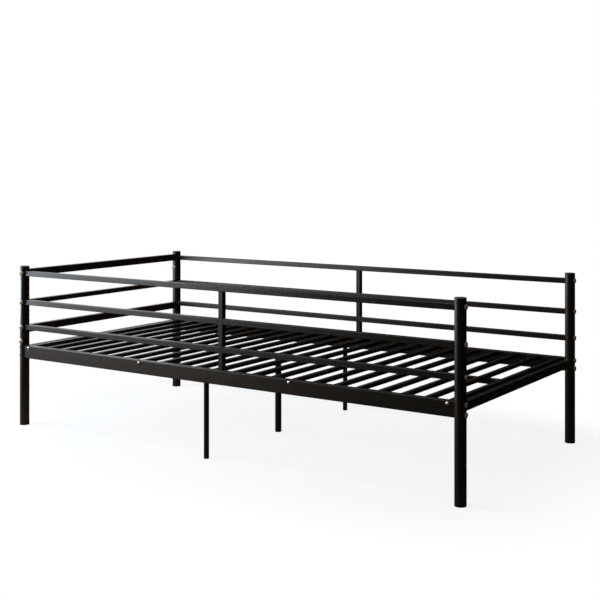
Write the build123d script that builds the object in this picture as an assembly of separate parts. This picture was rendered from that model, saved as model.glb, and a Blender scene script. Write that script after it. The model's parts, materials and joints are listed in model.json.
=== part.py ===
"""Tubular steel single bed frame with guard rails.

Millimetres. The origin is on the floor under the middle of the bed, +X runs along
the bed to its open end, +Y to the back side and +Z up.
"""
import os
from build123d import *

os.makedirs("parts", exist_ok=True)

# Corner posts: round tubes, closed by a cap and a foot.
POST_X = 967.5
POST_Y = 472.0
POST_D = 38.0
HEIGHT = 640.0
WALL = 1.0
CAP_T = 3.0
FOOT_T = 2.0
CAP_EDGE = 1.2
PLUG_DEEP = 12.0

# Guard rails along both sides, and the upright that ties them.
# Levels above the deck are counted down from the posts' tops to a tube's centre.
RAIL = 20.0
RAIL_DOWN = {"top": 30.0, "middle": 146.0, "lower": 246.0}
DIVIDER_X = 42.0

# Side beams that carry the slats.
BEAM_T = 25.0
BEAM_H = 50.0
BEAM_DOWN = 319.5

# Closed end: three rails. Each row is the level, counted down, and the tube's height.
END_RAIL = {"top": (27.5, 30.0), "middle": (146.5, 20.0), "lower": (253.5, 30.0)}
END_BEAM_H = 30.0
END_BEAM_DROP = 2.5

# Slats and the beam under them.
SLAT_N = 23
SLAT_W = 17.0
SLAT_H = 15.0
SLAT_WALL = 0.8
SLAT_IN = 6.0
TONGUE_GAP = 0.5
END_SLAT_GAP = 2.2
BOLT_SKIP = 7
CENTRE_W = 20.0
CENTRE_H = 20.0
SEAT_T = 2.5
SEAT_L = 30.0
SEAT_SIDE = 2.0
SEAT_UP = 10.0

# Legs under the middle. They are placed from the mid-gap left of the middle slat.
SIDE_LEG_D = 19.0
SIDE_LEG_OFF = 14.0
CENTRE_LEG_D = 25.0
CENTRE_LEG_OFF = -4.0
FORK_UP = 8.0

# Fasteners.
BOLT_D = 6.0
BOLT_BITE = 12.0
SHORT_BOLT_L = 10.0
HEAD_D = 17.0
HEAD_H = 5.0
END_HEAD_D = 20.5
END_HEAD_H = 6.0
HEAD_EDGE = 2.6
SOCKET_AF = 4.0
SOCKET_DEEP = 2.4
RAIL_BOLT_UP = 1.5
BEAM_BOLT_EDGE = 9.75
END_BOLT_UP = {"top": 0.0, "middle": 2.0, "lower": 9.0}
FRONT_SPARE_UP = 17.5
BACK_SPARE_DOWN = 75.0
DECK_BOLT_L = 40.0
DECK_HEAD_D = 11.0
DECK_HEAD_EDGE = 1.2
DECK_HEAD_H = 4.0
WASHER_D = 16.0
WASHER_T = 1.5
RAIL_PLUG = 12.0
BEAM_PLUG = 8.0
SLAT_PLUG = 14.0
STUB_L = 30.0

# Fits.
ROUND_GAP = 0.3
SLIDE_GAP = 0.2
LAP_GAP = 0.15
EDGE_R = 2.0

POST_R = POST_D / 2
HOLE_R = BOLT_D / 2 + ROUND_GAP
BOLT_L = POST_D + BOLT_BITE
RAIL_Z = {level: HEIGHT - down for level, down in RAIL_DOWN.items()}
BEAM_TOP = HEIGHT - BEAM_DOWN
BEAM_BOTTOM = BEAM_TOP - BEAM_H
BEAM_Z = BEAM_TOP - BEAM_H / 2
BEAM_BOLT_Z = (BEAM_TOP - BEAM_BOLT_EDGE, BEAM_BOTTOM + BEAM_BOLT_EDGE)
BEAM_IN = POST_Y - BEAM_T / 2
BEAM_OUT = POST_Y + BEAM_T / 2
END_BEAM_Z = BEAM_TOP - END_BEAM_DROP - END_BEAM_H / 2
END_BOLT_Z = {level: HEIGHT - row[0] + END_BOLT_UP[level] for level, row in END_RAIL.items()}
FRONT_SPARE_Z = BEAM_TOP + FRONT_SPARE_UP
BACK_SPARE_Z = HEIGHT - BACK_SPARE_DOWN
END_BEAM_IN = POST_X - RAIL / 2
SLAT_TOP = BEAM_TOP
SLAT_STEP = WALL + TONGUE_GAP
SLAT_Z = SLAT_TOP - SLAT_H / 2
TONGUE_Z = SLAT_Z - SLAT_STEP / 2
SLAT_END = BEAM_IN + SLAT_IN
END_SLAT_X = POST_X - POST_R - ROUND_GAP - BEAM_PLUG - END_SLAT_GAP - SLAT_W / 2
SLAT_PITCH = 2 * END_SLAT_X / (SLAT_N - 1)
SLAT_X = [i * SLAT_PITCH - END_SLAT_X for i in range(SLAT_N)]
BOLTED_SLATS = (0, BOLT_SKIP, SLAT_N - 1 - BOLT_SKIP, SLAT_N - 1)
MID_GAP_X = (SLAT_X[SLAT_N // 2 - 1] + SLAT_X[SLAT_N // 2]) / 2
SIDE_LEG_X = MID_GAP_X + SIDE_LEG_OFF
CENTRE_LEG_X = MID_GAP_X + CENTRE_LEG_OFF
CENTRE_TOP = SLAT_TOP - SLAT_H
CENTRE_Z = CENTRE_TOP - CENTRE_H / 2
CENTRE_BOTTOM = CENTRE_TOP - CENTRE_H
SIDES = {"front": -1, "back": 1}
ENDS = {"left": -1, "right": 1}
ALONG = {"x": Plane.YZ, "y": Plane.XZ, "z": Plane.XY}


def save(node, shape):
    """Write one node's solids, with the node's name as the label."""
    shape.label = node
    export_step(shape, f"parts/{node}.step")


def group(solids):
    """Separate solids that share one node."""
    return Compound(children=solids)


def bar(axis, a, b, length, radius=EDGE_R):
    """Solid bar with rounded long edges, centred on the origin."""
    return extrude(ALONG[axis] * RectangleRounded(a, b, radius), length / 2, both=True)


def tube(axis, a, b, length, wall=WALL, plugs=(0.0, 0.0)):
    """Hollow bar centred on the origin. A plug is the solid length at the low or high end."""
    cuts = [p if p else -1.0 for p in plugs]
    hollow = length - cuts[0] - cuts[1]
    core = bar(axis, a - 2 * wall, b - 2 * wall, hollow, EDGE_R - wall)
    shift = (cuts[0] - cuts[1]) / 2
    step = {"x": (shift, 0, 0), "y": (0, shift, 0), "z": (0, 0, shift)}[axis]
    return bar(axis, a, b, length) - Pos(*step) * core


def rod(axis, radius, length):
    """Round bar centred on the origin."""
    turn = {"x": Rot(0, 90, 0), "y": Rot(90, 0, 0), "z": Rot(0, 0, 0)}[axis]
    return turn * Cylinder(radius, length)


def post_spots():
    """Name, end sign and side sign of each corner."""
    return [(f"{s}_{e}", ENDS[e], SIDES[s]) for s in SIDES for e in ENDS]


def cope_x(shape, y, gap=ROUND_GAP):
    """Shape both ends of a member that runs along X to the round posts."""
    for ex in ENDS.values():
        shape -= Pos(ex * POST_X, y, shape.center().Z) * Cylinder(POST_R + gap, BEAM_H + RAIL)
    return shape


def cope_y(shape, x, gap=ROUND_GAP):
    """Shape both ends of a member that runs along Y to the round posts."""
    for sy in SIDES.values():
        shape -= Pos(x, sy * POST_Y, shape.center().Z) * Cylinder(POST_R + gap, BEAM_H + RAIL)
    return shape


def plug_for(length):
    """Solid length, counted from the post's axis, that leaves a plug past the coped end."""
    return POST_R + ROUND_GAP + length


def head(diameter, edge, height, sink):
    """Domed head with a hex socket, about X, its seat at the origin and its crown at +X."""
    r = diameter / 2
    with BuildPart() as p:
        with BuildSketch(Plane.XY):
            with BuildLine():
                Polyline((height, 0), (-sink, 0), (-sink, r), (edge, r))
                ThreePointArc((edge, r), (edge + 0.72 * (height - edge), r * 0.55), (height, 0))
            make_face()
        revolve(axis=Axis.X)
    hexagon = Plane.YZ * RegularPolygon(SOCKET_AF / 2, 6, major_radius=False)
    socket = Pos(height - SOCKET_DEEP, 0, 0) * extrude(hexagon, SOCKET_DEEP + 1)
    return p.part - socket


def frame_bolt(length, head_d, head_h):
    """Bolt for a round post, along -X from its seat on the post."""
    drop = POST_R - (POST_R**2 - (head_d / 2) ** 2) ** 0.5
    cap = head(head_d, HEAD_EDGE, head_h, drop + 1.0)
    cap -= Pos(-POST_R, 0, 0) * Cylinder(POST_R + ROUND_GAP, 2 * head_d)
    shank = Pos((1.0 - length) / 2, 0, 0) * rod("x", BOLT_D / 2, length + 1.0)
    return cap + shank


def deck_bolt():
    """Bolt for the flat face of a side beam, along -X from its seat on the washer."""
    cap = head(DECK_HEAD_D, DECK_HEAD_EDGE, DECK_HEAD_H, 0.0)
    shank = Pos((0.5 - DECK_BOLT_L) / 2, 0, 0) * rod("x", BOLT_D / 2, DECK_BOLT_L + 0.5)
    return cap + shank


def single(shape):
    """The one solid of a shape."""
    return shape.solids()[0]


# Bolt levels. The rails are bolted at the open end and slide over stubs at the other.
side_bolt_z = [z + RAIL_BOLT_UP for z in RAIL_Z.values()]
post_x_levels = {-1: list(BEAM_BOLT_Z), 1: side_bolt_z + list(BEAM_BOLT_Z)}

# Posts, caps and feet.
feet = []
for corner, ex, sy in post_spots():
    tall = HEIGHT - CAP_T - FOOT_T
    post = Cylinder(POST_R, tall) - Cylinder(POST_R - WALL, tall + 2)
    post = Pos(ex * POST_X, sy * POST_Y, FOOT_T + tall / 2) * post
    for z in post_x_levels[ex]:
        post -= Pos(ex * POST_X, sy * POST_Y, z) * rod("x", HOLE_R, 2 * POST_D)
    if ex < 0:
        for z in END_BOLT_Z.values():
            post -= Pos(ex * POST_X, sy * POST_Y, z) * rod("y", HOLE_R, 2 * POST_D)
        spare = FRONT_SPARE_Z if sy < 0 else BACK_SPARE_Z
        post -= Pos(ex * POST_X, sy * POST_Y - POST_R, spare) * rod("y", HOLE_R, POST_R)
    save(f"post_{corner}", single(post))
    plug_r = POST_R - WALL - SLIDE_GAP
    top = Pos(0, 0, -CAP_T / 2) * Cylinder(POST_R, CAP_T)
    top = fillet(top.edges().group_by(Axis.Z)[-1], CAP_EDGE)
    top += Pos(0, 0, -CAP_T - PLUG_DEEP / 2) * Cylinder(plug_r, PLUG_DEEP)
    save(f"cap_{corner}", single(Pos(ex * POST_X, sy * POST_Y, HEIGHT) * top))
    foot = Pos(0, 0, FOOT_T / 2) * Cylinder(POST_R, FOOT_T)
    foot += Pos(0, 0, FOOT_T + PLUG_DEEP / 2) * Cylinder(plug_r, PLUG_DEEP)
    feet.append(single(Pos(ex * POST_X, sy * POST_Y, 0) * foot))
save("post_feet", group(feet))

# Side rails, dividers and side beams.
for side, sy in SIDES.items():
    y = sy * POST_Y
    lap = Pos(DIVIDER_X, sy * (POST_Y + RAIL / 2), 0)
    for level, z in RAIL_Z.items():
        rail = tube("x", RAIL, RAIL, 2 * POST_X, plugs=(0.0, plug_for(RAIL_PLUG)))
        rail = cope_x(Pos(0, y, z) * rail, y)
        rail -= Pos(POST_X, y, z + RAIL_BOLT_UP) * rod("x", HOLE_R, 4 * POST_D)
        if level != "top":
            notch = Box(RAIL + 2 * LAP_GAP, RAIL, RAIL + 2)
            rail -= lap * Pos(0, 0, z) * notch
        save(f"{side}_{level}_rail", single(rail))

    divider_h = RAIL_Z["top"] - RAIL / 2 - BEAM_TOP
    divider = Pos(DIVIDER_X, y, BEAM_TOP + divider_h / 2) * tube("z", RAIL, RAIL, divider_h)
    for level in ("middle", "lower"):
        notch = Box(RAIL + 2, RAIL, RAIL + 2 * LAP_GAP)
        divider -= Pos(DIVIDER_X, sy * (POST_Y - RAIL / 2), RAIL_Z[level]) * notch
    save(f"{side}_divider", single(divider))

    ends = (plug_for(BEAM_PLUG), plug_for(BEAM_PLUG))
    beam = Pos(0, y, BEAM_Z) * tube("x", BEAM_T, BEAM_H, 2 * POST_X, plugs=ends)
    beam = cope_x(beam, y)
    for ex in ENDS.values():
        for z in BEAM_BOLT_Z:
            beam -= Pos(ex * POST_X, y, z) * rod("x", HOLE_R, 4 * POST_D)
    for x in SLAT_X:
        pocket = Box(SLAT_W + 2 * SLIDE_GAP, 3 * WALL, SLAT_H - SLAT_STEP + 2 * SLIDE_GAP)
        beam -= Pos(x, sy * BEAM_IN, TONGUE_Z) * pocket
    for k in BOLTED_SLATS:
        beam -= Pos(SLAT_X[k], sy * BEAM_OUT, TONGUE_Z) * rod("y", HOLE_R, 4 * WALL)
    leg_hole = Cylinder(SIDE_LEG_D / 2 + ROUND_GAP, 4 * WALL)
    beam -= Pos(SIDE_LEG_X, y, BEAM_BOTTOM) * leg_hole
    save(f"{side}_side_beam", single(beam))

# Closed end rails, and the beam across each end.
for level, (down, tall) in END_RAIL.items():
    z = HEIGHT - down
    ends = (plug_for(RAIL_PLUG), plug_for(RAIL_PLUG))
    rail = Pos(-POST_X, 0, z) * tube("y", RAIL, tall, 2 * POST_Y, plugs=ends)
    rail = cope_y(rail, -POST_X)
    for sy in SIDES.values():
        rail -= Pos(-POST_X, sy * POST_Y, END_BOLT_Z[level]) * rod("y", HOLE_R, 4 * POST_D)
    save(f"end_{level}_rail", single(rail))

for end, ex in ENDS.items():
    beam = Pos(ex * POST_X, 0, END_BEAM_Z) * tube("y", RAIL, END_BEAM_H, 2 * POST_Y)
    save(f"{end}_end_beam", single(cope_y(beam, ex * POST_X)))

# Stubs on the posts that the tubes slide over.
inside = RAIL - 2 * WALL - 2 * SLIDE_GAP
inside_h = END_BEAM_H - 2 * WALL - 2 * SLIDE_GAP
rail_stubs = []
for sy in SIDES.values():
    for z in RAIL_Z.values():
        stub = bar("x", inside, inside, POST_R + STUB_L, 0.5)
        stub = Pos(-POST_X + (POST_R + STUB_L) / 2, sy * POST_Y, z) * stub
        stub -= Pos(-POST_X, sy * POST_Y, z) * Cylinder(POST_R + SLIDE_GAP, 2 * RAIL)
        rail_stubs.append(single(stub))
save("rail_stubs", group(rail_stubs))
beam_stubs = []
for corner, ex, sy in post_spots():
    stub = bar("y", inside, inside_h, POST_R + STUB_L, 0.5)
    stub = Pos(ex * POST_X, sy * (POST_Y - (POST_R + STUB_L) / 2), END_BEAM_Z) * stub
    stub -= Pos(ex * POST_X, sy * POST_Y, END_BEAM_Z) * Cylinder(POST_R + SLIDE_GAP, 2 * END_BEAM_H)
    beam_stubs.append(single(stub))
save("end_beam_stubs", group(beam_stubs))

# Slats, their centre beam and its seats.
for i, x in enumerate(SLAT_X):
    bolted = i in BOLTED_SLATS
    ends = (SLAT_PLUG, SLAT_PLUG) if bolted else (0.0, 0.0)
    slat = tube("y", SLAT_W, SLAT_H, 2 * SLAT_END, SLAT_WALL, ends)
    for sy in SIDES.values():
        tongue = Box(2 * SLAT_W, 2 * (SLAT_IN + SLIDE_GAP), 2 * SLAT_STEP)
        slat -= Pos(0, sy * SLAT_END, SLAT_H / 2) * tongue
        if bolted:
            slat -= Pos(0, sy * SLAT_END, TONGUE_Z - SLAT_Z) * rod("y", HOLE_R, 4 * SLAT_PLUG)
    save(f"slat_{i + 1:02d}", single(Pos(x, 0, SLAT_Z) * slat))

centre_l = 2 * (END_BEAM_IN - SEAT_T - ROUND_GAP)
save("centre_beam", single(Pos(0, 0, CENTRE_Z) * tube("x", CENTRE_W, CENTRE_H, centre_l)))
seats = []
for ex in ENDS.values():
    seat_w = CENTRE_W + 2 * SEAT_SIDE
    shelf = Box(SEAT_L, seat_w, SEAT_T)
    shelf = Pos(ex * (END_BEAM_IN - SEAT_L / 2), 0, CENTRE_BOTTOM - SEAT_T / 2) * shelf
    back_h = CENTRE_H + SEAT_UP + SEAT_T
    plate = Box(SEAT_T, seat_w, back_h)
    plate = Pos(ex * (END_BEAM_IN - SEAT_T / 2), 0, CENTRE_BOTTOM - SEAT_T + back_h / 2) * plate
    seats.append(single(shelf + plate))
save("centre_beam_seats", group(seats))

# Legs under the middle and their feet.
side_feet = []
for side, sy in SIDES.items():
    r = SIDE_LEG_D / 2
    tall = BEAM_TOP - WALL - FOOT_T
    leg = Cylinder(r, tall) - Cylinder(r - WALL, tall + 2)
    save(f"{side}_leg", single(Pos(SIDE_LEG_X, sy * POST_Y, FOOT_T + tall / 2) * leg))
    foot = Pos(0, 0, FOOT_T / 2) * Cylinder(r, FOOT_T)
    foot += Pos(0, 0, FOOT_T + PLUG_DEEP / 2) * Cylinder(r - WALL - SLIDE_GAP, PLUG_DEEP)
    side_feet.append(single(Pos(SIDE_LEG_X, sy * POST_Y, 0) * foot))
save("side_leg_feet", group(side_feet))
r = CENTRE_LEG_D / 2
tall = CENTRE_BOTTOM + FORK_UP - FOOT_T
leg = Cylinder(r, tall) - Cylinder(r - WALL, tall + 2)
leg = Pos(CENTRE_LEG_X, 0, FOOT_T + tall / 2) * leg
fork = Box(4 * r, CENTRE_W + 2 * SLIDE_GAP, 2 * FORK_UP)
leg -= Pos(CENTRE_LEG_X, 0, CENTRE_BOTTOM + FORK_UP) * fork
save("centre_leg", single(leg))
foot = Pos(0, 0, FOOT_T / 2) * Cylinder(r, FOOT_T)
foot += Pos(0, 0, FOOT_T + PLUG_DEEP / 2) * Cylinder(r - WALL - SLIDE_GAP, PLUG_DEEP)
save("centre_leg_foot", single(Pos(CENTRE_LEG_X, 0, 0) * foot))

# Bolts. A bolt is made along -X and turned to its axis.
OUT = {(1, 0): 0, (-1, 0): 180, (0, 1): 90, (0, -1): -90}
side_bolt = single(frame_bolt(BOLT_L, HEAD_D, HEAD_H))
end_bolt = single(frame_bolt(BOLT_L, END_HEAD_D, END_HEAD_H))
spare_bolt = single(frame_bolt(SHORT_BOLT_L, END_HEAD_D, END_HEAD_H))
bolts = []
for corner, ex, sy in post_spots():
    for z in post_x_levels[ex]:
        spot = Pos(ex * (POST_X + POST_R), sy * POST_Y, z)
        bolts.append(spot * Rot(0, 0, OUT[(ex, 0)]) * side_bolt)
    if ex < 0:
        for z in END_BOLT_Z.values():
            spot = Pos(ex * POST_X, sy * (POST_Y + POST_R), z)
            bolts.append(spot * Rot(0, 0, OUT[(0, sy)]) * end_bolt)
save("frame_bolts", group(bolts))
spares = []
for sy, z in ((-1, FRONT_SPARE_Z), (1, BACK_SPARE_Z)):
    spot = Pos(-POST_X, sy * POST_Y - POST_R, z)
    spares.append(spot * Rot(0, 0, OUT[(0, -1)]) * spare_bolt)
save("spare_hole_bolts", group(spares))
deck = single(deck_bolt())
washer = rod("x", WASHER_D / 2, WASHER_T) - rod("x", HOLE_R, 2 * WASHER_T)
deck_bolts = []
washers = []
for sy in SIDES.values():
    for k in BOLTED_SLATS:
        turn = Rot(0, 0, OUT[(0, sy)])
        face = Pos(SLAT_X[k], sy * (BEAM_OUT + WASHER_T), TONGUE_Z)
        deck_bolts.append(face * turn * deck)
        washers.append(single(face * turn * Pos(-WASHER_T / 2, 0, 0) * washer))
save("deck_bolts", group(deck_bolts))
save("deck_washers", group(washers))
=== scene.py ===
"""Black steel bed frame with guard rails, dressed for a studio picture.

Metres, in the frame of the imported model: the origin is on the floor under the middle of
the bed, +X runs to the open end, +Y to the back side and +Z up.
"""
import json
import math

import bpy
import numpy as np
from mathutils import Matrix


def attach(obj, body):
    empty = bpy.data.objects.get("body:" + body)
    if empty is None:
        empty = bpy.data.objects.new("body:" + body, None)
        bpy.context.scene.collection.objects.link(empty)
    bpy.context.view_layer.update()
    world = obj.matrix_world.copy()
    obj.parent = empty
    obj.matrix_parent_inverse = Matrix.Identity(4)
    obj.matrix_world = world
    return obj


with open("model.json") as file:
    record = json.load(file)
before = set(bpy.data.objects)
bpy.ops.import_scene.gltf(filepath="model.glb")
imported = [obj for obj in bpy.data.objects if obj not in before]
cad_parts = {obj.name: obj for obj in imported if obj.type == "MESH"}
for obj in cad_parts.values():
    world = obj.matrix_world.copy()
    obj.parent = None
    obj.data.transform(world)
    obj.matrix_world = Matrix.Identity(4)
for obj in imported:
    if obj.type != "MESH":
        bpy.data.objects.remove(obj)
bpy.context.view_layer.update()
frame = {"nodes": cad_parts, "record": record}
NODES = frame["nodes"]


# Mesh helpers.

def mesh_piece(name, verts, faces, mat, smooth=True):
    """Turn arrays of points and quads into an object at the origin."""
    mesh = bpy.data.meshes.new(name)
    mesh.from_pydata(np.asarray(verts, float).tolist(), [], np.asarray(faces, int).tolist())
    mesh.polygons.foreach_set("use_smooth", np.full(len(mesh.polygons), smooth))
    mesh.update()
    obj = bpy.data.objects.new(name, mesh)
    bpy.context.scene.collection.objects.link(obj)
    mesh.materials.append(mat)
    return obj


def grid_faces(rows, cols, wrap=False):
    """Quads of a rows by cols grid of points, with its columns closed round when asked."""
    row, col = np.meshgrid(np.arange(rows - 1), np.arange(cols if wrap else cols - 1), indexing="ij")
    here = row * cols
    above = here + cols
    following = (col + 1) % cols
    return np.stack([here + col, here + following, above + following, above + col], -1).reshape(-1, 4)


def node_box(name):
    """Lowest and highest corner of a CAD node's mesh."""
    mesh = NODES[name].data
    pts = np.empty(len(mesh.vertices) * 3)
    mesh.vertices.foreach_get("co", pts)
    pts = pts.reshape(-1, 3)
    return pts.min(0), pts.max(0)


# Shader node helpers.

def new_group(name, inputs, outputs):
    """An empty shader node group with named sockets; returns the tree, its input and its output."""
    tree = bpy.data.node_groups.new(name, "ShaderNodeTree")
    for label, kind, value in inputs:
        sock = tree.interface.new_socket(name=label, in_out="INPUT", socket_type=kind)
        if value is not None:
            sock.default_value = value
    for label, kind in outputs:
        tree.interface.new_socket(name=label, in_out="OUTPUT", socket_type=kind)
    return tree, tree.nodes.new("NodeGroupInput"), tree.nodes.new("NodeGroupOutput")


def math_node(tree, op, a, b, clamp=False):
    """A Math node whose inputs are sockets or plain numbers."""
    node = tree.nodes.new("ShaderNodeMath")
    node.operation = op
    node.use_clamp = clamp
    for sock, value in zip(node.inputs, (a, b)):
        if isinstance(value, (int, float)):
            sock.default_value = value
        else:
            tree.links.new(value, sock)
    return node.outputs[0]


def over(tree, value, cut, gain):
    """How far a value is over a cut, times a gain, kept from 0 to 1."""
    return math_node(tree, "MULTIPLY", math_node(tree, "SUBTRACT", value, cut), gain, clamp=True)


def noise(tree, vector, scale, detail, rough):
    """Noise read at a vector socket; returns its value from 0 to 1."""
    node = tree.nodes.new("ShaderNodeTexNoise")
    if isinstance(scale, (int, float)):
        node.inputs["Scale"].default_value = scale
    else:
        tree.links.new(scale, node.inputs["Scale"])
    node.inputs["Detail"].default_value = detail
    node.inputs["Roughness"].default_value = rough
    tree.links.new(vector, node.inputs["Vector"])
    return node.outputs["Fac"]


def smooth_step(tree, value, start, end):
    """0 below the start, 1 above the end and a smooth rise between them."""
    node = tree.nodes.new("ShaderNodeMapRange")
    node.interpolation_type = "SMOOTHSTEP"
    node.inputs["From Min"].default_value = start
    node.inputs["From Max"].default_value = end
    tree.links.new(value, node.inputs["Value"])
    return node.outputs["Result"]


def ramp_value(tree, value, low, high):
    """Map a 0 to 1 value to the range low to high."""
    node = tree.nodes.new("ShaderNodeMapRange")
    tree.links.new(value, node.inputs["Value"])
    node.inputs["To Min"].default_value = low
    node.inputs["To Max"].default_value = high
    return node.outputs["Result"]


def mix_colour(tree, fac, a, b):
    """Colour between a and b by a mask; a and b are colours or sockets."""
    node = tree.nodes.new("ShaderNodeMix")
    node.data_type = "RGBA"
    tree.links.new(fac, node.inputs["Factor"])
    for label, value in (("A", a), ("B", b)):
        sock = [s for s in node.inputs if s.name == label and s.type == "RGBA"][0]
        if isinstance(value, tuple):
            sock.default_value = (*value, 1.0)
        else:
            tree.links.new(value, sock)
    return [s for s in node.outputs if s.type == "RGBA"][0]


def add_bump(tree, shader, height, strength, distance):
    """Bump from a height socket into the shader's normal."""
    bump = tree.nodes.new("ShaderNodeBump")
    bump.inputs["Strength"].default_value = strength
    bump.inputs["Distance"].default_value = distance
    tree.links.new(height, bump.inputs["Height"])
    tree.links.new(bump.outputs["Normal"], shader.inputs["Normal"])


def start_material(name):
    """A material; returns it with its tree, its Principled shader and Object coordinates."""
    mat = bpy.data.materials.new(name)
    mat.use_nodes = True
    tree = mat.node_tree
    shader = tree.nodes["Principled BSDF"]
    coords = tree.nodes.new("ShaderNodeTexCoord")
    return mat, tree, shader, coords.outputs["Object"]


def place_group(tree, group, vector, **values):
    """Put a node group into a material, with its own values."""
    node = tree.nodes.new("ShaderNodeGroup")
    node.node_tree = group
    tree.links.new(vector, node.inputs["Vector"])
    for label, value in values.items():
        node.inputs[label.replace("_", " ")].default_value = value
    return node


# Node groups shared by the finishes. A noise row is its scale per metre, detail and roughness.

PEBBLE_SCALE = 900.0
PEBBLE_DETAIL = (2.0, 0.55)
RIPPLE_SCALE = 140.0
RIPPLE_DETAIL = (1.0, 0.5)
RIPPLE_SHARE = 0.35
CLOUD_NOISE = (6.0, 3.0, 0.6)
DUST_NOISE = (60.0, 4.0, 0.65)
RUB_NOISE = (35.0, 4.0, 0.7)

# Each row is a cut and a gain.
DUST_TILT = (0.6, 2.5)
DUST_BREAK = (0.35, 2.2)
RUB_BREAK = (0.3, 2.0)

DUST_AMOUNT = 0.1
WEAR_RADIUS = 0.0016
WEAR_AMOUNT = 0.5
EDGE_GAIN = 6.0
EDGE_SAMPLES = 6


def coat_grain_group():
    """Powder coat texture: a height and a cloud.

    The height is fine pebbling plus a share of a slower ripple. The cloud is slow noise from 0 to 1.
    """
    tree, gin, gout = new_group(
        "coat_grain",
        [("Vector", "NodeSocketVector", None),
         ("Pebble Scale", "NodeSocketFloat", PEBBLE_SCALE),
         ("Ripple Scale", "NodeSocketFloat", RIPPLE_SCALE),
         ("Ripple Share", "NodeSocketFloat", RIPPLE_SHARE)],
        [("Height", "NodeSocketFloat"), ("Cloud", "NodeSocketFloat")],
    )
    vector = gin.outputs["Vector"]
    pebble = noise(tree, vector, gin.outputs["Pebble Scale"], *PEBBLE_DETAIL)
    ripple = noise(tree, vector, gin.outputs["Ripple Scale"], *RIPPLE_DETAIL)
    part = math_node(tree, "MULTIPLY", ripple, gin.outputs["Ripple Share"])
    tree.links.new(math_node(tree, "ADD", pebble, part), gout.inputs["Height"])
    tree.links.new(noise(tree, vector, *CLOUD_NOISE), gout.inputs["Cloud"])
    return tree


def dust_group():
    """Dust that settles on faces that look up: the upward part of the normal, broken by noise."""
    tree, gin, gout = new_group(
        "settled_dust",
        [("Vector", "NodeSocketVector", None), ("Amount", "NodeSocketFloat", DUST_AMOUNT)],
        [("Mask", "NodeSocketFloat")],
    )
    geo = tree.nodes.new("ShaderNodeNewGeometry")
    split = tree.nodes.new("ShaderNodeSeparateXYZ")
    tree.links.new(geo.outputs["Normal"], split.inputs[0])
    up = over(tree, split.outputs["Z"], *DUST_TILT)
    speck = over(tree, noise(tree, gin.outputs["Vector"], *DUST_NOISE), *DUST_BREAK)
    film = math_node(tree, "MULTIPLY", up, speck)
    mask = math_node(tree, "MULTIPLY", film, gin.outputs["Amount"], clamp=True)
    tree.links.new(mask, gout.inputs["Mask"])
    return tree


def edge_mask_group():
    """Mask along edges, broken by noise: wear on the coat, and on the bolts dirt with painted shade
    along the rims.

    An edge is where one minus the dot product of the rounded and the true normal is above 0.
    """
    tree, gin, gout = new_group(
        "edge_mask",
        [("Vector", "NodeSocketVector", None), ("Radius", "NodeSocketFloat", WEAR_RADIUS),
         ("Amount", "NodeSocketFloat", WEAR_AMOUNT)],
        [("Mask", "NodeSocketFloat")],
    )
    geo = tree.nodes.new("ShaderNodeNewGeometry")
    rounded = tree.nodes.new("ShaderNodeBevel")
    rounded.samples = EDGE_SAMPLES
    tree.links.new(gin.outputs["Radius"], rounded.inputs["Radius"])
    agree = tree.nodes.new("ShaderNodeVectorMath")
    agree.operation = "DOT_PRODUCT"
    tree.links.new(geo.outputs["Normal"], agree.inputs[0])
    tree.links.new(rounded.outputs["Normal"], agree.inputs[1])
    turn = math_node(tree, "SUBTRACT", 1.0, agree.outputs["Value"])
    turn = math_node(tree, "MULTIPLY", turn, EDGE_GAIN, clamp=True)
    rub = over(tree, noise(tree, gin.outputs["Vector"], *RUB_NOISE), *RUB_BREAK)
    worn = math_node(tree, "MULTIPLY", turn, rub)
    mask = math_node(tree, "MULTIPLY", worn, gin.outputs["Amount"], clamp=True)
    tree.links.new(mask, gout.inputs["Mask"])
    return tree


GRAIN = coat_grain_group()
DUST = dust_group()
EDGE_MASK = edge_mask_group()


# Finishes. A bump row is its strength and its distance in metres.

COAT_WEAR_AMOUNT = 0.6
COAT_WORN = (0.030, 0.024, 0.019)
COAT_DUST = (0.10, 0.095, 0.09)
COAT_POLISH = 0.06
COAT_SPECULAR = 0.385
COAT_TINT = (1.0, 0.86, 0.74, 1.0)
COAT_BUMP = (0.34, 0.0004)

PLASTIC_GRAIN = {"Pebble_Scale": 1600.0, "Ripple_Share": 0.1}
PLASTIC_DARK = (0.008, 0.0078, 0.0076)
PLASTIC_LIGHT = (0.013, 0.0126, 0.0122)
PLASTIC_DUST = (0.09, 0.088, 0.085)
PLASTIC_DUST_AMOUNT = 0.12
PLASTIC_ROUGH = (0.5, 0.62)
PLASTIC_BUMP = (0.2, 0.0003)

ZINC_GRAIN = {"Pebble_Scale": 2200.0, "Ripple_Scale": 500.0, "Ripple_Share": 0.6}
ZINC_TINT = (45.0, 3.0, 0.6)
# Rim colour of the bolts: dirt, and painted shade that dims the lit rims of the heads.
ZINC_RIM_DIRT_AND_SHADE = (0.075, 0.055, 0.038)
ZINC_BUMP = (0.1, 0.0002)


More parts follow.
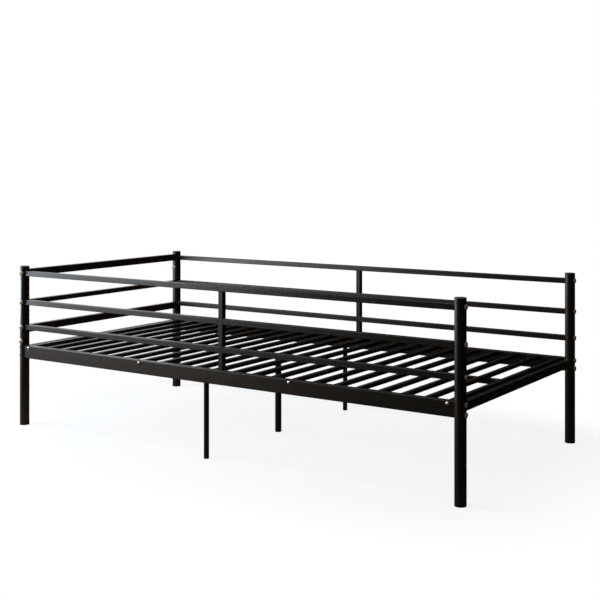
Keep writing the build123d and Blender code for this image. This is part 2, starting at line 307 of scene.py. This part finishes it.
def powder_coat(name, dark, light, rough, dust):
    """Satin black powder coat: pebbled, a little cloudy, thinner along edges, a trace of dust on top."""
    mat, tree, shader, vec = start_material(name)
    grain = place_group(tree, GRAIN, vec)
    film = place_group(tree, DUST, vec, Amount=dust)
    thin = place_group(tree, EDGE_MASK, vec, Amount=COAT_WEAR_AMOUNT)
    colour = mix_colour(tree, grain.outputs["Cloud"], dark, light)
    colour = mix_colour(tree, thin.outputs["Mask"], colour, COAT_WORN)
    colour = mix_colour(tree, film.outputs["Mask"], colour, COAT_DUST)
    tree.links.new(colour, shader.inputs["Base Color"])
    gloss = ramp_value(tree, grain.outputs["Cloud"], *rough)
    polish = math_node(tree, "MULTIPLY", thin.outputs["Mask"], COAT_POLISH)
    tree.links.new(math_node(tree, "SUBTRACT", gloss, polish), shader.inputs["Roughness"])
    shader.inputs["Specular IOR Level"].default_value = COAT_SPECULAR
    shader.inputs["Specular Tint"].default_value = COAT_TINT
    add_bump(tree, shader, grain.outputs["Height"], *COAT_BUMP)
    return mat


def moulded_plastic(name):
    """Black moulded plastic: finer grain than the coat and a duller surface."""
    mat, tree, shader, vec = start_material(name)
    grain = place_group(tree, GRAIN, vec, **PLASTIC_GRAIN)
    film = place_group(tree, DUST, vec, Amount=PLASTIC_DUST_AMOUNT)
    colour = mix_colour(tree, grain.outputs["Cloud"], PLASTIC_DARK, PLASTIC_LIGHT)
    colour = mix_colour(tree, film.outputs["Mask"], colour, PLASTIC_DUST)
    tree.links.new(colour, shader.inputs["Base Color"])
    tree.links.new(ramp_value(tree, grain.outputs["Cloud"], *PLASTIC_ROUGH), shader.inputs["Roughness"])
    add_bump(tree, shader, grain.outputs["Height"], *PLASTIC_BUMP)
    return mat


def zinc_plating(name, dark, light, metal, rough, rim):
    """Zinc plating on bolts: slow tint changes, a fine grain, a film and a darker colour along the rims,
    which is partly dirt and partly painted shade that dims the rims where the lamp lights them.

    The film hides part of the metal. The rim gives the reach in metres and the amount of that darkening.
    """
    mat, tree, shader, vec = start_material(name)
    grain = place_group(tree, GRAIN, vec, **ZINC_GRAIN)
    rim_dirt_and_shade = place_group(tree, EDGE_MASK, vec, Radius=rim[0], Amount=rim[1])
    tint = noise(tree, vec, *ZINC_TINT)
    colour = mix_colour(tree, tint, dark, light)
    # Darker along the rims: dirt, and painted shade over the rims where the lamp lights them.
    colour = mix_colour(tree, rim_dirt_and_shade.outputs["Mask"], colour, ZINC_RIM_DIRT_AND_SHADE)
    tree.links.new(colour, shader.inputs["Base Color"])
    tree.links.new(ramp_value(tree, tint, *metal), shader.inputs["Metallic"])
    tree.links.new(ramp_value(tree, grain.outputs["Cloud"], *rough), shader.inputs["Roughness"])
    add_bump(tree, shader, grain.outputs["Height"], *ZINC_BUMP)
    return mat


FRAME_COAT = powder_coat(
    "frame_powder_coat", dark=(0.0080, 0.0050, 0.0032), light=(0.0112, 0.0074, 0.0050),
    rough=(0.25, 0.32), dust=0.015)
DECK_COAT = powder_coat(
    "deck_powder_coat", dark=(0.0050, 0.0034, 0.0024), light=(0.0074, 0.0051, 0.0038),
    rough=(0.27, 0.34), dust=0.02)
CAP_PLASTIC = moulded_plastic("cap_plastic")
# The frame bolts get strong rim darkening: painted shade on the rims of the heads as well as dirt.
BOLT_ZINC = zinc_plating(
    "dull_warm_zinc", dark=(0.24, 0.165, 0.105), light=(0.40, 0.295, 0.20),
    metal=(0.5, 0.8), rough=(0.46, 0.60), rim=(0.0026, 2.0))
DECK_ZINC = zinc_plating(
    "bright_zinc", dark=(0.66, 0.48, 0.37), light=(0.90, 0.68, 0.54),
    metal=(0.85, 1.0), rough=(0.36, 0.48), rim=(0.0008, 1.0))

FINISH = {"frame_coat": FRAME_COAT, "deck_coat": DECK_COAT, "cap_plastic": CAP_PLASTIC,
          "bolt_zinc": BOLT_ZINC, "washer_black": CAP_PLASTIC}
OWN_FINISH = {"deck_bolts": DECK_ZINC}

for row in frame["record"]["subparts"]:
    node = NODES[row["node"]]
    finish = OWN_FINISH.get(row["node"], FINISH[row["material_slot"]])
    if not node.material_slots:
        node.data.materials.append(finish)
    for place in node.material_slots:
        place.material = finish


# Weld beads where the dividers meet the rails.

WELD_LEG = 0.0030
WELD_STEP = 0.0017
WELD_WAVE = 0.09
WELD_FLAT = 0.17
WELD_SINK = 0.0004
WELD_STATIONS = 49
WELD_ARC = 9
TAPER_POWER = 8
TUBE_EDGE = 0.0022


def weld_bead(start, end, side, lift):
    """Points of one bead in a corner: a flattened quarter round carried along the corner line.

    The section runs from the corner, sunk a little into both walls, along one wall, round the
    arc and back along the other. Its size follows a row of small waves, one for each step of
    the weld, and an eighth-power curve that brings both ends to a point.
    """
    start, end, side, lift = (np.array(v, float) for v in (start, end, side, lift))
    if np.dot(np.cross(side, lift), end - start) < 0.0:
        start, end = end, start
    run = np.linalg.norm(end - start)
    along = np.linspace(0.0, 1.0, WELD_STATIONS)
    taper = np.sqrt(1.0 - (2.0 * along - 1.0) ** TAPER_POWER)
    wave = 1.0 + WELD_WAVE * np.cos(2.0 * np.pi * along * run / WELD_STEP)
    turn = np.linspace(0.0, np.pi / 2.0, WELD_ARC)
    reach = WELD_LEG * (1.0 - WELD_FLAT * np.sin(2.0 * turn) ** 2)
    arc = np.outer(reach * np.cos(turn), side) + np.outer(reach * np.sin(turn), lift)
    arc[0] -= WELD_SINK * lift
    arc[-1] -= WELD_SINK * side
    section = np.vstack([-WELD_SINK * (side + lift), arc])
    line = start + np.outer(along, end - start)
    return line[:, None, :] + (taper * wave)[:, None, None] * section[None, :, :]


def divider_welds(side_name):
    """Beads left and right of a divider, in each corner that it makes with a rail or the beam."""
    low, high = node_box(side_name + "_divider")
    y = (low[1] + TUBE_EDGE, high[1] - TUBE_EDGE)
    levels = [(node_box(side_name + "_top_rail")[0][2], -1.0)]
    levels += [(node_box(side_name + "_side_beam")[1][2], 1.0)]
    for rail in ("_middle_rail", "_lower_rail"):
        under, over_rail = node_box(side_name + rail)
        levels += [(under[2], -1.0), (over_rail[2], 1.0)]
    beads = [weld_bead((x, y[0], z), (x, y[1], z), (out, 0.0, 0.0), (0.0, 0.0, up))
             for x, out in ((low[0], -1.0), (high[0], 1.0)) for z, up in levels]
    rows, cols = beads[0].shape[:2]
    faces = grid_faces(rows, cols, wrap=True)
    pts = np.concatenate([bead.reshape(-1, 3) for bead in beads])
    quads = np.concatenate([faces + i * rows * cols for i in range(len(beads))])
    piece = mesh_piece(side_name + "_divider_welds", pts, quads, FRAME_COAT)
    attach(piece, "root")


divider_welds("front")
divider_welds("back")


# Studio surfaces.

FLOOR_REACH = (1.95, 1.40)
FLOOR_PAINT = (0.9, 0.9, 0.9, 1.0)
FLOOR_GLOW = 0.8
FADE_REACH = (1.5, 0.97, 1.0)
FADE_SPAN = (0.44, 1.0)
WORLD_WHITE = (1.0, 1.0, 1.0, 1.0)
WORLD_SEEN = 1.0
WORLD_FILL = 0.6
MATT_ROUGH = 0.9

OVAL_TURNS = 96
OVAL_RINGS = 12
# Floor shade card: painted shade of the floor under the bed, seen only in the gloss. CARD_TURN is the
# span along X where it goes from a brown painted as lit by the window at the left end to black at the
# right end.
CARD_REACH = (1.60, 1.15)
CARD_LEVEL = 0.0006
CARD_TURN = (-0.7, 0.3)
WALL_RADIUS = 6.5
WALL_STEPS = 60
BLACK_CARD = (0.012, 0.012, 0.012)
WARM_CARD = (0.80, 0.44, 0.22)
# Painted shade seen in the gloss: the window-lit brown end of the floor card. BLACK_CARD gives its dark
# end and also colours the side flag.
FLOOR_SHADE_LIT_BROWN = (0.18, 0.12, 0.08)

# Wall cards: bearings in degrees from -Y, counted towards +X, and levels.
SIDE_FLAG = {"start": -32.0, "end": 223.0, "low": -3.5, "high": 5.2, "colour": BLACK_CARD}
LOW_CARD = {"start": -137.0, "end": -32.0, "low": -3.5, "high": -0.72, "colour": WARM_CARD}


def matt_material(name):
    """A material with no gloss; returns what start_material does."""
    mat, tree, shader, vec = start_material(name)
    shader.inputs["Roughness"].default_value = MATT_ROUGH
    shader.inputs["Specular IOR Level"].default_value = 0.0
    return mat, tree, shader, vec


def flat_material(name, colour):
    """Matt studio surface of one colour."""
    mat, _, shader, _ = matt_material(name)
    shader.inputs["Base Color"].default_value = (*colour, 1.0)
    return mat


def graded_material(name, left, right, turn):
    """Matt studio surface that goes from one colour to another along X, by a smooth step."""
    mat, tree, shader, vec = matt_material(name)
    split = tree.nodes.new("ShaderNodeSeparateXYZ")
    tree.links.new(vec, split.inputs[0])
    step = smooth_step(tree, split.outputs["X"], *turn)
    tree.links.new(mix_colour(tree, step, left, right), shader.inputs["Base Color"])
    return mat


def seen_rays(tree):
    """1 for rays that show the background: from the camera, off gloss and through glass."""
    path = tree.nodes.new("ShaderNodeLightPath")
    total = math_node(tree, "ADD", path.outputs["Is Camera Ray"], path.outputs["Is Glossy Ray"])
    return math_node(tree, "ADD", total, path.outputs["Is Transmission Ray"], clamp=True)


def mix_shader(tree, fac, first, second):
    """The output of a shader between two others, by a mask."""
    node = tree.nodes.new("ShaderNodeMixShader")
    for sock, value in zip(node.inputs, (fac, first, second)):
        tree.links.new(value, sock)
    return node.outputs[0]


def floor_material():
    """Pale floor that keeps a soft shadow and fades out round the bed into the white background.

    The fade runs on the length of the squared place, each way counted in its own reach, which
    gives a rounded rectangle.
    """
    mat = bpy.data.materials.new("studio_floor")
    mat.use_nodes = True
    tree = mat.node_tree
    tree.nodes.remove(tree.nodes["Principled BSDF"])
    coords = tree.nodes.new("ShaderNodeTexCoord")
    mapping = tree.nodes.new("ShaderNodeMapping")
    mapping.vector_type = "TEXTURE"
    mapping.inputs["Scale"].default_value = FADE_REACH
    tree.links.new(coords.outputs["Object"], mapping.inputs["Vector"])
    square = tree.nodes.new("ShaderNodeVectorMath")
    square.operation = "MULTIPLY"
    tree.links.new(mapping.outputs[0], square.inputs[0])
    tree.links.new(mapping.outputs[0], square.inputs[1])
    length = tree.nodes.new("ShaderNodeVectorMath")
    length.operation = "LENGTH"
    tree.links.new(square.outputs[0], length.inputs[0])
    edge = smooth_step(tree, length.outputs["Value"], *FADE_SPAN)
    paint = tree.nodes.new("ShaderNodeBsdfDiffuse")
    paint.inputs["Color"].default_value = FLOOR_PAINT
    glow = tree.nodes.new("ShaderNodeEmission")
    clear = tree.nodes.new("ShaderNodeBsdfTransparent")
    share = math_node(tree, "MULTIPLY", seen_rays(tree), FLOOR_GLOW)
    lit = mix_shader(tree, share, paint.outputs[0], glow.outputs[0])
    fade = mix_shader(tree, edge, lit, clear.outputs[0])
    tree.links.new(fade, tree.nodes["Material Output"].inputs["Surface"])
    return mat


def studio_world():
    """White where it is seen and a softer white where it only lights."""
    world = bpy.data.worlds.new("studio_white")
    bpy.context.scene.world = world
    world.use_nodes = True
    tree = world.node_tree
    seen = tree.nodes["Background"]
    fill = tree.nodes.new("ShaderNodeBackground")
    for light, strength in ((seen, WORLD_SEEN), (fill, WORLD_FILL)):
        light.inputs["Color"].default_value = WORLD_WHITE
        light.inputs["Strength"].default_value = strength
    both = mix_shader(tree, seen_rays(tree), fill.outputs[0], seen.outputs[0])
    tree.links.new(both, tree.nodes["World Output"].inputs["Surface"])


def flat_oval(name, reach, level, mat):
    """Level oval: rings of points, each an ellipse, growing evenly from the middle to the reach."""
    turn = np.linspace(0.0, 2.0 * np.pi, OVAL_TURNS, endpoint=False)
    ring = np.linspace(0.0, 1.0, OVAL_RINGS)
    x = reach[0] * np.outer(ring, np.cos(turn))
    y = reach[1] * np.outer(ring, np.sin(turn))
    pts = np.stack([x, y, np.full_like(x, level)], -1).reshape(-1, 3)
    obj = mesh_piece(name, pts, grid_faces(OVAL_RINGS, OVAL_TURNS, wrap=True), mat, False)
    return obj


def off_picture(card):
    """Keep a card out of the picture and out of the shadows: it shows in the gloss."""
    card.visible_camera = False
    card.visible_shadow = False


def floor_shade_card(left, right):
    """Painted shade seen in the gloss: a matt card on the floor under the bed, seen only in reflections,
    standing in for the floor's shade there. It is brown where the window lights its left end and black
    to the right, and it leaves the floor's own light as it is.
    """
    mat = graded_material("painted_floor_shade_matt", left, right, CARD_TURN)
    card = flat_oval("floor_shade_card", CARD_REACH, CARD_LEVEL, mat)
    off_picture(card)
    card.visible_diffuse = False


def wall_card(name, start, end, low, high, colour):
    """Curved card round part of the studio: a cylinder wall from one bearing to another."""
    bearing = np.radians(np.linspace(start, end, WALL_STEPS))
    b, z = np.meshgrid(bearing, np.array([low, high]))
    pts = np.stack([WALL_RADIUS * np.sin(b), -WALL_RADIUS * np.cos(b), z], -1).reshape(-1, 3)
    obj = mesh_piece(name, pts, grid_faces(2, WALL_STEPS), flat_material(name + "_matt", colour), False)
    off_picture(obj)


# Lamps.

DAYLIGHT = (0.62, 0.81, 1.0)
LAMPLIGHT = (1.0, 0.99, 0.97)
LEFT_WINDOW = {"place": (-2.75, -1.85, 1.4), "aim": (0.0, 0.0, 0.9), "size": (2.9, 2.2),
               "watts": 142.0, "colour": DAYLIGHT}
TOP_LIGHT = {"place": (0.3, -0.5, 4.5), "aim": (0.0, 0.0, 0.3), "size": (3.0, 3.0),
             "watts": 60.0, "colour": LAMPLIGHT}
END_STRIP = {"place": (-1.55, -0.60, 0.45), "aim": (0.0, -0.60, 0.45), "size": (0.70, 0.20),
             "watts": 3.8, "colour": DAYLIGHT}


def softbox(name, place, aim, size, watts, colour):
    """Rectangular lamp turned to a point."""
    data = bpy.data.lights.new(name, "AREA")
    data.shape = "RECTANGLE"
    data.size, data.size_y = size
    data.energy = watts
    data.color = colour
    obj = bpy.data.objects.new(name, data)
    bpy.context.scene.collection.objects.link(obj)
    away = np.array(aim, float) - np.array(place, float)
    flat = math.hypot(away[0], away[1])
    obj.location = place
    obj.rotation_euler = (math.atan2(flat, -away[2]), 0.0, math.atan2(-away[0], away[1]))
    return obj


# Camera, solved from the photograph's straight edges: level, with a vertical shift.

EYE = (2.4542, -3.5638, 1.0401)
YAW = math.radians(33.93)
FOCAL_PX = 1106.8
HORIZON_ROW = 166.89
FRAME_PX = 600.0
SENSOR_MM = 36.0
FAR_CLIP = 60.0


def photo_camera():
    """Level camera at the photograph's place, its horizon put right by a vertical shift."""
    data = bpy.data.cameras.new("photo_camera")
    data.sensor_width = SENSOR_MM
    data.sensor_fit = "HORIZONTAL"
    data.lens = SENSOR_MM * FOCAL_PX / FRAME_PX
    data.shift_y = -(FRAME_PX / 2.0 - HORIZON_ROW) / FRAME_PX
    data.clip_end = FAR_CLIP
    obj = bpy.data.objects.new("photo_camera", data)
    obj.location = EYE
    obj.rotation_euler = (math.pi / 2.0, 0.0, YAW)
    bpy.context.scene.collection.objects.link(obj)
    bpy.context.scene.camera = obj


studio_world()
flat_oval("studio_floor", FLOOR_REACH, 0.0, floor_material())
# Painted shade of the floor under the bed, seen only in the gloss.
floor_shade_card(FLOOR_SHADE_LIT_BROWN, BLACK_CARD)
wall_card("side_flag", **SIDE_FLAG)
wall_card("low_card", **LOW_CARD)
softbox("left_window", **LEFT_WINDOW)
softbox("top_light", **TOP_LIGHT)
end_strip = softbox("end_strip", **END_STRIP)
end_strip.visible_camera = False
photo_camera()
bpy.context.scene.view_settings.view_transform = "Standard"
